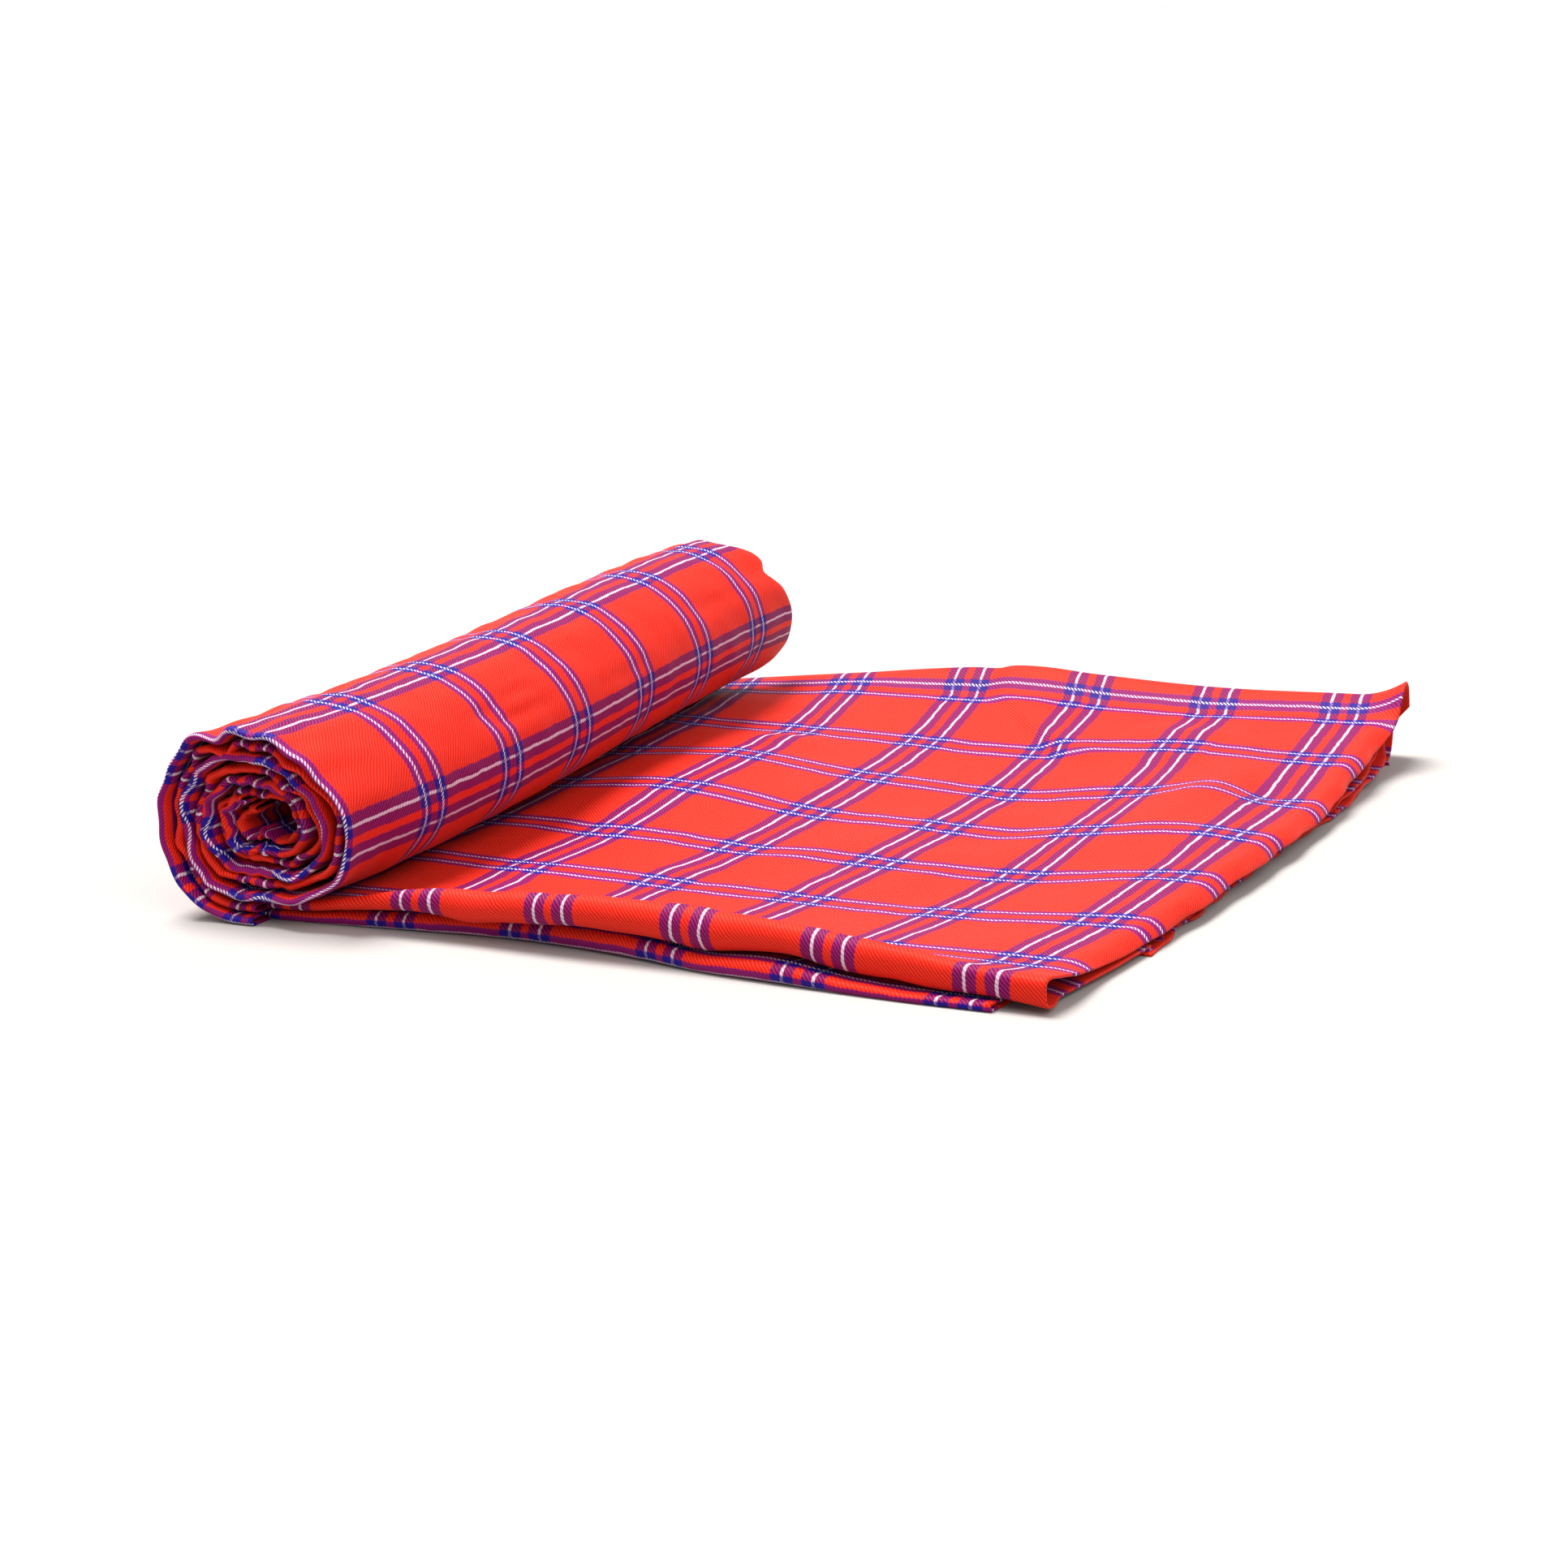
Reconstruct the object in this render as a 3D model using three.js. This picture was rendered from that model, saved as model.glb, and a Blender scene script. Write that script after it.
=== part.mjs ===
import * as THREE from "three";

// A check cloth folded lengthwise to four layers and laid flat, its left end wound up into a roll.
// +X runs along the folded strip to its open end, +Y from the two front folds to the back fold,
// +Z up. Sizes in millimetres, measured from the crossing of the first stripes at the open front
// corner, then moved so that the origin is under the middle of the whole.

const MIDDLE = { x: -149.5, y: 158.22 };

const WALL = 1.2;
const SEAM = 0.3;
const RIM_BULGE = 0.35;
const SEAM_HOLD = 0.62;
const NEST = WALL + SEAM + 0.05;

const BACK_FOLD = { centre: 331, reach: 12, underSeam: 324, shoulder: 325, shoulderRise: 0.7 };
const FRONT_LEG = 3.5;
const FRONT_NOSE = 0.9;
const NOSE_STEPS = 6;
const RIDGE_SHARES = [0.35, 0.7];
const GROUND_DEPTHS = [240, 160, 80, 20];

const STRIP_START = -270;
const OPEN_END = 22.8;
const UNDER_END = { front: 6, rest: 14, turnsFrom: -12, turnsTo: 60 };
const START_SKEW = 0.25;
const STEPS = { top: 19, lip: 5, under: 16, inner: 17 };

// The open end of the top layer droops over a lip, all but its back corner, which flicks up.
const LIP = { start: 13, radius: 6.5 };
const DROOP = { from: -16, whole: 24, easesFrom: 296, ends: 322 };
const FLICK = { from: 4, rise: 6, easesFrom: 310, back: 322, full: 22, low: 0.55 };

// The hidden layers: where they start and end, and how they step down at the open end.
const INNER = { front: 4, end: 10, skewReach: 70, nose: [0.45, 0.8] };
const INNER_STEPS = [
  { along: 10.7, fill: 0.5 },
  { along: 14.3, fill: 0.45 },
  { along: 15.0, fill: 0.25 },
];

const CLOTH_RED = "#d3261f";
const CLOTH_DEEP_RED = "#b81c1b";
const CLOTH_PURPLE = "#8a2a6e";

// The strip bows: it reaches furthest along X at its middle depth.
const BOW = { middle: 150, half: 168, depth: 10.3 };

// Height of the upper side of the flat cloth at seven depths (d0 at 0 mm to d318 at 318 mm) and on
// the crest of the back fold.
const DEPTHS = [0, 53, 106, 159, 212, 265, 318];
const LEVELS = [
  { along: -272, d0: 7.0, d53: 7.0, d106: 7.0, d159: 7.8, d212: 9.2, d265: 11.0, d318: 13.0, crest: 14.0 },
  { along: -212, d0: 8.2, d53: 5.8, d106: 7.4, d159: 12.0, d212: 12.2, d265: 10.8, d318: 16.2, crest: 20.0 },
  { along: -159, d0: 8.6, d53: 5.0, d106: 4.9, d159: 5.8, d212: 7.4, d265: 9.4, d318: 17.6, crest: 24.0 },
  { along: -106, d0: 9.0, d53: 4.8, d106: 4.7, d159: 4.9, d212: 5.8, d265: 9.2, d318: 17.6, crest: 22.4 },
  { along: -53, d0: 8.6, d53: 4.8, d106: 4.9, d159: 7.8, d212: 9.6, d265: 14.5, d318: 17.2, crest: 21.4 },
  { along: 0, d0: 9.0, d53: 8.6, d106: 10.0, d159: 11.0, d212: 10.0, d265: 14.2, d318: 19.4, crest: 22.6 },
  { along: 24, d0: 9.2, d53: 9.0, d106: 10.0, d159: 11.0, d212: 11.0, d265: 15.0, d318: 19.4, crest: 22.6 },
];

// The two front folds: the lower one lies on the ground, the upper one over it.
const FRONT_FOLDS = [
  { along: -272, lowFace: -18.0, lowTop: 3.4, face: -19.0, foot: 3.8, ridge: 7.2 },
  { along: -250, lowFace: -17.0, lowTop: 4.0, face: -19.6, foot: 4.6, ridge: 8.4 },
  { along: -236, lowFace: -16.0, lowTop: 5.2, face: -20.2, foot: 6.2, ridge: 10.4 },
  { along: -205, lowFace: -13.5, lowTop: 6.6, face: -21.0, foot: 8.4, ridge: 16.0 },
  { along: -180, lowFace: -11.5, lowTop: 6.6, face: -21.0, foot: 7.4, ridge: 18.0 },
  { along: -150, lowFace: -13.0, lowTop: 7.6, face: -22.0, foot: 8.8, ridge: 19.6 },
  { along: -120, lowFace: -17.0, lowTop: 7.6, face: -22.0, foot: 8.8, ridge: 20.4 },
  { along: -95, lowFace: -21.5, lowTop: 5.8, face: -22.0, foot: 6.8, ridge: 20.2 },
  { along: -65, lowFace: -24.0, lowTop: 6.8, face: -22.5, foot: 8.4, ridge: 18.6 },
  { along: -40, lowFace: -25.5, lowTop: 4.0, face: -23.0, foot: 4.8, ridge: 16.6 },
  { along: -15, lowFace: -26.5, lowTop: 2.9, face: -23.5, foot: 3.4, ridge: 13.6 },
  { along: 6, lowFace: -26.5, lowTop: 2.9, face: -24.0, foot: 3.3, ridge: 12.0 },
  { along: 24, lowFace: -26.5, lowTop: 2.9, face: -24.5, foot: 1.4, ridge: 11.6 },
];

// Middle line of the roll.
const ROLL_LINE = [
  { back: -26, x: -272.0, z: 33.6 },
  { back: 60, x: -272.0, z: 34.4 },
  { back: 140, x: -274.0, z: 37.4 },
  { back: 220, x: -277.5, z: 41.4 },
  { back: 290, x: -281.0, z: 43.4 },
  { back: 332, x: -282.0, z: 43.5 },
];
const ROLL_ENDS = { stripedFront: -26, plainFront: -24, back: 328 };

// Outside of the striped fold as it winds: degrees turned from under the roll, left, over and down,
// with its distance from the middle line at the front end and at the back end.
const WINDING = [
  { turned: 0, front: 33.6, back: 43.5 },
  { turned: 45, front: 36.4, back: 40.0 },
  { turned: 90, front: 36.2, back: 36.6 },
  { turned: 135, front: 36.2, back: 35.6 },
  { turned: 180, front: 33.2, back: 32.9 },
  { turned: 225, front: 35.2, back: 32.4 },
  { turned: 270, front: 41.0, back: 31.8 },
  { turned: 315, front: 33.0, back: 28.6 },
  { turned: 337, front: 27.4, back: 27.0 },
  { turned: 360, front: 25.4, back: 26.0 },
  { turned: 405, front: 28.8, back: 28.4 },
  { turned: 450, front: 28.6, back: 28.6 },
  { turned: 495, front: 27.8, back: 27.8 },
  { turned: 540, front: 24.8, back: 25.2 },
  { turned: 585, front: 26.8, back: 24.8 },
  { turned: 630, front: 31.0, back: 24.2 },
  { turned: 675, front: 24.8, back: 21.0 },
  { turned: 697, front: 19.4, back: 19.4 },
  { turned: 720, front: 17.6, back: 18.4 },
  { turned: 765, front: 21.2, back: 20.8 },
  { turned: 810, front: 21.0, back: 20.8 },
  { turned: 855, front: 19.0, back: 20.0 },
  { turned: 900, front: 16.0, back: 17.6 },
  { turned: 945, front: 18.2, back: 17.2 },
  { turned: 990, front: 21.6, back: 16.6 },
  { turned: 1035, front: 15.6, back: 13.4 },
  { turned: 1057, front: 11.4, back: 11.8 },
  { turned: 1080, front: 10.0, back: 10.8 },
  { turned: 1125, front: 13.4, back: 13.2 },
  { turned: 1170, front: 13.4, back: 13.2 },
];
const STRIPED_BAND = 3.4;
const PLAIN_BAND = 3.0;
const BAND_GAP = 0.5;
const BAND_EDGE = { round: 1.7, second: 0.6, least: 0.3 };
const BAND_SPANS = 7;
const GROUNDED = { turned: 90, down: 0.2 };
const FULL_TURN = 360;
const CORE_END = { striped: 1170, plain: 1134 };
const TURN_STEP = { outer: 15, inner: 18 };
const ROLL_FOOT = -90;

function cloth(colour) {
  return new THREE.MeshStandardMaterial({ color: colour, roughness: 0.85, metalness: 0 });
}

function smoothStep(from, to, value) {
  return THREE.MathUtils.smoothstep(value, from, to);
}

// Slope of a column of a table at one of its rows, from the rows on either side.
function slopeAt(rows, placeKey, key, index) {
  const before = rows[Math.max(index - 1, 0)];
  const after = rows[Math.min(index + 1, rows.length - 1)];
  return (after[key] - before[key]) / (after[placeKey] - before[placeKey]);
}

// Smooth reading of a column of a table between its rows.
function readTable(rows, placeKey, key, place) {
  const last = rows.length - 1;
  const held = THREE.MathUtils.clamp(place, rows[0][placeKey], rows[last][placeKey]);
  let index = 0;
  while (index < last - 1 && rows[index + 1][placeKey] < held) {
    index += 1;
  }
  const low = rows[index];
  const high = rows[index + 1];
  const span = high[placeKey] - low[placeKey];
  const t = (held - low[placeKey]) / span;
  const rise = 3 * t * t - 2 * t * t * t;
  const leave = slopeAt(rows, placeKey, key, index) * span;
  const arrive = slopeAt(rows, placeKey, key, index + 1) * span;
  const bendLow = t * (1 - t) * (1 - t) * leave;
  const bendHigh = t * t * (1 - t) * arrive;
  return low[key] + (high[key] - low[key]) * rise + bendLow - bendHigh;
}

function bow(back) {
  const share = (back - BOW.middle) / BOW.half;
  return -BOW.depth * share * share;
}

// Height of the flat cloth's upper side behind its front ridge.
function levelAt(along, back) {
  const profile = DEPTHS.map((depth) => {
    const z = readTable(LEVELS, "along", `d${depth}`, along);
    return { depth, z };
  });
  return readTable(profile, "depth", "z", back);
}

// Closed shell between an outer and an inner net of points, its rim bulged a little.
function shell(name, outer, inner, colour, bulge) {
  const rows = outer.length;
  const columns = outer[0].length;
  const points = [...outer.flat(), ...inner.flat()];
  const count = rows * columns;
  const faces = [];
  for (let i = 0; i < rows - 1; i += 1) {
    for (let j = 0; j < columns - 1; j += 1) {
      const a = i * columns + j;
      const b = a + columns;
      faces.push([a, b, b + 1], [a, b + 1, a + 1]);
      faces.push([count + a, count + b + 1, count + b], [count + a, count + a + 1, count + b + 1]);
    }
  }
  const edge = rimOrder(rows, columns);
  const rimStart = points.length;
  edge.forEach(([index, neighbour]) => {
    points.push(rimPoint(points, index, neighbour, count, bulge));
  });
  edge.forEach(([index], k) => {
    const next = (k + 1) % edge.length;
    const follow = edge[next][0];
    const here = rimStart + k;
    const ahead = rimStart + next;
    faces.push([index, ahead, here], [index, follow, ahead]);
    faces.push([here, count + follow, count + index], [here, ahead, count + follow]);
  });
  return closedMesh(name, points, faces, colour);
}

// Edge of a net, once round, each point with the one inside it.
function rimOrder(rows, columns) {
  const at = (i, j) => i * columns + j;
  const order = [];
  for (let j = 0; j < columns - 1; j += 1) {
    order.push([at(0, j), at(1, Math.max(j, 1))]);
  }
  for (let i = 0; i < rows - 1; i += 1) {
    order.push([at(i, columns - 1), at(Math.max(i, 1), columns - 2)]);
  }
  for (let j = columns - 1; j > 0; j -= 1) {
    order.push([at(rows - 1, j), at(rows - 2, Math.min(j, columns - 2))]);
  }
  for (let i = rows - 1; i > 0; i -= 1) {
    order.push([at(i, 0), at(Math.min(i, rows - 2), 1)]);
  }
  return order;
}

function rimPoint(points, index, neighbour, count, bulge) {
  const middle = points[index].clone().add(points[index + count]).multiplyScalar(0.5);
  const inside = points[neighbour].clone().add(points[neighbour + count]).multiplyScalar(0.5);
  const outward = middle.clone().sub(inside).normalize();
  return middle.addScaledVector(outward, bulge);
}

function closedMesh(name, points, faces, colour) {
  let volume = 0;
  faces.forEach(([a, b, c]) => {
    volume += points[a].dot(new THREE.Vector3().crossVectors(points[b], points[c]));
  });
  const turned = volume < 0 ? faces.map(([a, b, c]) => [a, c, b]) : faces;
  const places = points.flatMap((point) => point.toArray());
  const geometry = new THREE.BufferGeometry();
  geometry.setAttribute("position", new THREE.Float32BufferAttribute(places, 3));
  geometry.setIndex(turned.flat());
  geometry.translate(-MIDDLE.x, -MIDDLE.y, 0);
  geometry.computeVertexNormals();
  const mesh = new THREE.Mesh(geometry, cloth(colour));
  mesh.name = name;
  return mesh;
}

// Inner side of a cloth wall, one wall's thickness in from its outer net.
function innerNet(outer) {
  return outer.map((row, i) => row.map((point, j) => {
    const alongStep = stepVector(outer, i, j, 1, 0);
    const acrossStep = stepVector(outer, i, j, 0, 1);
    const normal = new THREE.Vector3().crossVectors(alongStep, acrossStep).normalize();
    return point.clone().addScaledVector(normal, -WALL);
  }));
}

function stepVector(net, i, j, di, dj) {
  const lastRow = net.length - 1;
  const lastColumn = net[0].length - 1;
  const ahead = net[Math.min(i + di, lastRow)][Math.min(j + dj, lastColumn)];
  const behind = net[Math.max(i - di, 0)][Math.max(j - dj, 0)];
  return ahead.clone().sub(behind);
}

// Half an oval of cloth round its nose: facing is -1 for one to the front, drawn from its foot up,
// and 1 for one to the back, drawn from its crest down.
function noseOval(centre, middle, reach, half, facing) {
  const points = [];
  for (let k = 1; k < NOSE_STEPS; k += 1) {
    const turn = (k * Math.PI) / NOSE_STEPS;
    const back = centre + facing * reach * Math.sin(turn);
    points.push({ back, z: middle + facing * half * Math.cos(turn) });
  }
  return points;
}

// Depths at which the flat cloth is drawn between its front ridge and the crest of the back fold.
function topDepths() {
  const depths = [];
  for (let k = 0; k < DEPTHS.length - 1; k += 1) {
    depths.push(DEPTHS[k], (DEPTHS[k] + DEPTHS[k + 1]) / 2);
  }
  return [...depths, DEPTHS[DEPTHS.length - 1]];
}

// Cut across the upper side: front leg, front fold, top, back fold and the leg under it.
function upperCut(along) {
  const read = (key) => readTable(FRONT_FOLDS, "along", key, along);
  const [face, foot, ridge] = [read("face"), read("foot"), read("ridge")];
  const half = (ridge - foot) / 2;
  const reach = half * FRONT_NOSE;
  const turn = face + reach;
  const crest = readTable(LEVELS, "along", "crest", along);
  const front = levelAt(along, 0);
  const points = [{ back: turn + FRONT_LEG, z: foot }, { back: turn, z: foot }];
  points.push(...noseOval(turn, foot + half, reach, half, -1), { back: turn, z: ridge });
  RIDGE_SHARES.forEach((share) => {
    points.push({ back: turn * (1 - share), z: ridge + (front - ridge) * smoothStep(0, 1, share) });
  });
  topDepths().forEach((depth) => points.push({ back: depth, z: levelAt(along, depth) }));
  const lastLevel = levelAt(along, DEPTHS[DEPTHS.length - 1]);
  const shoulder = THREE.MathUtils.lerp(lastLevel, crest, BACK_FOLD.shoulderRise);
  points.push({ back: BACK_FOLD.shoulder, z: shoulder }, { back: BACK_FOLD.centre, z: crest });
  points.push(...noseOval(BACK_FOLD.centre, crest / 2, BACK_FOLD.reach, crest / 2, 1));
  points.push({ back: BACK_FOLD.centre, z: 0 });
  points.push({ back: BACK_FOLD.underSeam + SEAM / 2 + RIM_BULGE, z: 0 });
  return points;
}

// Cut across the under side: from under the back fold along the ground, round the lower front fold.
function underCut(along) {
  const read = (key) => readTable(FRONT_FOLDS, "along", key, along);
  const half = read("lowTop") / 2;
  const turn = read("lowFace") + half;
  const points = [{ back: BACK_FOLD.underSeam - SEAM / 2 - RIM_BULGE, z: 0 }];
  GROUND_DEPTHS.forEach((back) => points.push({ back, z: 0 }));
  points.push({ back: turn, z: 0 }, ...noseOval(turn, half, half, half, -1));
  points.push({ back: turn, z: 2 * half }, { back: turn + FRONT_LEG, z: 2 * half });
  return points;
}

function rollMiddle(back) {
  const x = readTable(ROLL_LINE, "back", "x", back);
  const z = readTable(ROLL_LINE, "back", "z", back);
  return { x, z };
}

// Where the flat cloth ends under the roll, measured along the strip.
function startUnderRoll(back) {
  return rollMiddle(back).x - bow(back) + SEAM_HOLD;
}

// Places along the strip from 0 under the roll to 1 at the open end, closer together at the lip.
function alongShares(even, close) {
  const lipShare = (LIP.start - STRIP_START) / (OPEN_END - STRIP_START);
  const shares = [];
  for (let k = 0; k <= even; k += 1) {
    shares.push((lipShare * k) / even);
  }
  for (let k = 1; k <= close; k += 1) {
    shares.push(lipShare + ((1 - lipShare) * k) / close);
  }
  return shares;
}

// Place in space of a point of the upper cut, drooped at the open end and lifted at its back corner.
function placeUpper(along, point, droop) {
  const past = Math.max(along - LIP.start, 0);
  const turn = past / LIP.radius;
  const x = along + droop * (LIP.radius * Math.sin(turn) - past);
  const lift = Math.max(along - FLICK.from, 0) / (OPEN_END - FLICK.from);
  const corner = smoothStep(FLICK.easesFrom, FLICK.back, point.back);
  const high = smoothStep(FLICK.low, 1, point.z / FLICK.full);
  const drop = droop * LIP.radius * (1 - Math.cos(turn));
  const z = point.z - drop + FLICK.rise * lift * lift * corner * high;
  return new THREE.Vector3(x + bow(point.back), point.back, z);
}

function droopAt(back) {
  return smoothStep(DROOP.from, DROOP.whole, back) * (1 - smoothStep(DROOP.easesFrom, DROOP.ends, back));
}

function topStretch() {
  const outer = alongShares(STEPS.top, STEPS.lip).map((share) => {
    const nominal = STRIP_START + share * (OPEN_END - STRIP_START);
    return upperCut(nominal).map((point) => {
      const start = startUnderRoll(point.back);
      const shift = (start - STRIP_START) * Math.max(1 - share / START_SKEW, 0);
      return placeUpper(nominal + shift, point, droopAt(point.back));
    });
  });
  return shell("top_stretch", outer, innerNet(outer), CLOTH_RED, RIM_BULGE);
}

function underStretch() {
  const outer = [];
  for (let k = 0; k <= STEPS.under; k += 1) {
    const share = k / STEPS.under;
    const nominal = STRIP_START + share * (UNDER_END.rest - STRIP_START);
    outer.push(underCut(nominal).map((point) => {
      const start = startUnderRoll(point.back);
      const turned = smoothStep(UNDER_END.turnsFrom, UNDER_END.turnsTo, point.back);
      const end = THREE.MathUtils.lerp(UNDER_END.front, UNDER_END.rest, turned);
      const x = THREE.MathUtils.lerp(start, end, share) + bow(point.back);
      return new THREE.Vector3(x, point.back, point.z);
    }));
  }
  return shell("under_stretch", outer, innerNet(outer), CLOTH_PURPLE, RIM_BULGE);
}

// Places along the strip at which the hidden layers are drawn, with the share of height left there.
function innerStations() {
  const stations = [];
  for (let k = 0; k <= STEPS.inner; k += 1) {
    const along = THREE.MathUtils.lerp(STRIP_START, INNER.end, k / STEPS.inner);
    stations.push({ along, fill: 1 });
  }
  return [...stations, ...INNER_STEPS];
}

// Cut across the hidden layers: their top and underside at each depth, rounded into the back fold.
function innerCut(along) {
  const crest = readTable(LEVELS, "along", "crest", along);
  const lastDepth = DEPTHS[DEPTHS.length - 1];
  const last = levelAt(along, lastDepth);
  const depths = [INNER.front, ...topDepths().slice(1), BACK_FOLD.shoulder, BACK_FOLD.centre];
  const flat = depths.map((back) => {
    const beyond = smoothStep(lastDepth, BACK_FOLD.centre, back);
    const level = back > lastDepth ? THREE.MathUtils.lerp(last, crest, beyond) : levelAt(along, back);
    return { back, top: level - NEST, under: WALL + SEAM };
  });
  const round = INNER.nose.map((reached) => {
    const half = (crest / 2 - NEST) * Math.sqrt(1 - reached * reached) - RIM_BULGE;
    const back = BACK_FOLD.centre + (BACK_FOLD.reach - NEST) * reached;
    return { back, top: crest / 2 + half, under: crest / 2 - half };
  });
  return [...flat, ...round];
}

// The two layers that don't show, as one solid that fills the strip, stepped at the open end.
function innerLayers() {
  const upper = [];
  const lower = [];
  innerStations().forEach(({ along, fill }) => {
    const skew = Math.max(1 - (along - STRIP_START) / INNER.skewReach, 0);
    const place = (back, z) => {
      const x = along + (startUnderRoll(back) - STRIP_START) * skew + bow(back);
      return new THREE.Vector3(x, back, z);
    };
    const cut = innerCut(along);
    upper.push(cut.map(({ back, top, under }) => place(back, THREE.MathUtils.lerp(under, top, fill))));
    lower.push(cut.map(({ back, under }) => place(back, under)));
  });
  return shell("inner_layers", upper, lower, CLOTH_DEEP_RED, RIM_BULGE);
}

// Distances back at which a roll band is drawn, closer together where its edges round over.
function bandDepths(front, back) {
  const depths = [front, front + BAND_EDGE.second];
  for (let k = 0; k <= BAND_SPANS; k += 1) {
    depths.push(THREE.MathUtils.lerp(front + BAND_EDGE.round, back - BAND_EDGE.round, k / BAND_SPANS));
  }
  return [...depths, back - BAND_EDGE.second, back];
}

// How much of a band's thickness is left near its front or back edge.
function edgeFullness(back, from, to) {
  const inside = Math.min(back - from, to - back, BAND_EDGE.round) / BAND_EDGE.round;
  const round = Math.sqrt(1 - (1 - inside) * (1 - inside));
  return THREE.MathUtils.lerp(BAND_EDGE.least, 1, round);
}

// Distance of the striped band's outside from the roll's middle line; it never goes below ground.
function windingRadius(turned, back) {
  const share = (back - ROLL_ENDS.stripedFront) / (ROLL_ENDS.back - ROLL_ENDS.stripedFront);
  const front = readTable(WINDING, "turned", "front", turned);
  const rear = readTable(WINDING, "turned", "back", turned);
  const radius = THREE.MathUtils.lerp(front, rear, share);
  const down = Math.cos(THREE.MathUtils.degToRad(turned));
  const grounded = turned < GROUNDED.turned && down > GROUNDED.down;
  return grounded ? Math.min(radius, rollMiddle(back).z / down) : radius;
}

// Amounts of turning at which a band is drawn, held back a little at the seams at its two ends.
function bandTurns(from, to, step, under) {
  const heldBack = (turned) => {
    const radius = readTable(WINDING, "turned", "back", turned) - under;
    return THREE.MathUtils.radToDeg(SEAM_HOLD / radius);
  };
  const turns = [from + heldBack(from)];
  for (let turned = from + step; turned < to; turned += step) {
    turns.push(turned);
  }
  return [...turns, to - heldBack(to)];
}

// One stretch of a wound band, between two amounts of turning.
function rollBand(name, { from, to, step, front, under, thickness, colour }) {
  const outer = [];
  const inner = [];
  const depths = bandDepths(front, ROLL_ENDS.back);
  bandTurns(from, to, step, under).forEach((turned) => {
    const angle = THREE.MathUtils.degToRad(ROLL_FOOT - turned);
    const ray = (inward, back) => {
      const middle = rollMiddle(back);
      const radius = windingRadius(turned, back) - inward;
      const x = middle.x + radius * Math.cos(angle);
      return new THREE.Vector3(x, back, middle.z + radius * Math.sin(angle));
    };
    const lost = (back) => (1 - edgeFullness(back, front, ROLL_ENDS.back)) * (thickness / 2);
    outer.push(depths.map((back) => ray(under + lost(back), back)));
    inner.push(depths.map((back) => ray(under + thickness - lost(back), back)));
  });
  return shell(name, outer, inner, colour, RIM_BULGE);
}

function stripedTurn(name, from, to, step) {
  const front = ROLL_ENDS.stripedFront;
  const thickness = STRIPED_BAND;
  return rollBand(name, { from, to, step, front, under: 0, thickness, colour: CLOTH_RED });
}

function plainTurn(name, from, to, step) {
  const front = ROLL_ENDS.plainFront;
  const under = STRIPED_BAND + BAND_GAP;
  const thickness = PLAIN_BAND;
  return rollBand(name, { from, to, step, front, under, thickness, colour: CLOTH_DEEP_RED });
}

function maasaiShuka() {
  const shuka = new THREE.Group();
  shuka.name = "maasai_shuka";
  const [second, third] = [FULL_TURN, 2 * FULL_TURN];
  shuka.add(topStretch(), underStretch(), innerLayers());
  shuka.add(stripedTurn("roll_striped_outer_turn", 0, second, TURN_STEP.outer));
  shuka.add(plainTurn("roll_plain_outer_turn", 0, second, TURN_STEP.outer));
  shuka.add(stripedTurn("roll_striped_middle_turn", second, third, TURN_STEP.inner));
  shuka.add(plainTurn("roll_plain_middle_turn", second, third, TURN_STEP.inner));
  shuka.add(stripedTurn("roll_striped_core", third, CORE_END.striped, TURN_STEP.inner));
  shuka.add(plainTurn("roll_plain_core", third, CORE_END.plain, TURN_STEP.inner));
  return shuka;
}

export default maasaiShuka();
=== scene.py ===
import bpy
import math
import numpy as np
from mathutils import Matrix, Vector, noise


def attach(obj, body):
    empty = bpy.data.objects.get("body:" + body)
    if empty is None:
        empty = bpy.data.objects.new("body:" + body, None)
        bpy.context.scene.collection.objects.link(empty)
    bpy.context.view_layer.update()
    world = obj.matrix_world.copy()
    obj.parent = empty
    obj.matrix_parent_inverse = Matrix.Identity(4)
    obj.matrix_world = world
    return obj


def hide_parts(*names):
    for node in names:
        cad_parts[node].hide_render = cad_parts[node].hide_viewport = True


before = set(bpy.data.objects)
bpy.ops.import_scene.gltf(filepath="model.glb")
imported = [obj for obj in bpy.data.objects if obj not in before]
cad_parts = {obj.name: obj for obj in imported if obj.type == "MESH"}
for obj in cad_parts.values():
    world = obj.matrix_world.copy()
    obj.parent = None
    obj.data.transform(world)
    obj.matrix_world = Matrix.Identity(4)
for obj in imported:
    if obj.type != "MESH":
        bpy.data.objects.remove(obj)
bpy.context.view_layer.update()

# The top stretch: the upper two layers of the folded strip, a red cotton twill with a blue and
# white check. It comes from under the roll, turns round the upper front fold and the back fold,
# and droops over a soft lip at its open end. Sizes are in mm from the first crossing of stripes.
MIDDLE = (-149.5, 158.22)
STRIP_START, OPEN_END = -270, 22.8
DEPTHS = (0, 53, 106, 159, 212, 265, 318)
LEVELS = (
    # along, height at each depth, crest of the back fold
    (-272, 7.0, 7.0, 7.0, 7.8, 9.2, 11.0, 13.0, 14.0),
    (-212, 8.2, 5.8, 7.4, 12.0, 12.2, 10.8, 16.2, 20.0),
    (-159, 8.6, 5.0, 4.9, 5.8, 7.4, 9.4, 17.6, 24.0),
    (-106, 9.0, 4.8, 4.7, 4.9, 5.8, 9.2, 17.6, 22.4),
    (-53, 8.6, 4.8, 4.9, 7.8, 9.6, 14.5, 17.2, 21.4),
    (0, 9.0, 8.6, 10.0, 11.0, 10.0, 14.2, 19.4, 22.6),
    (24, 9.2, 9.0, 10.0, 11.0, 11.0, 15.0, 19.4, 22.6),
)
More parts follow.
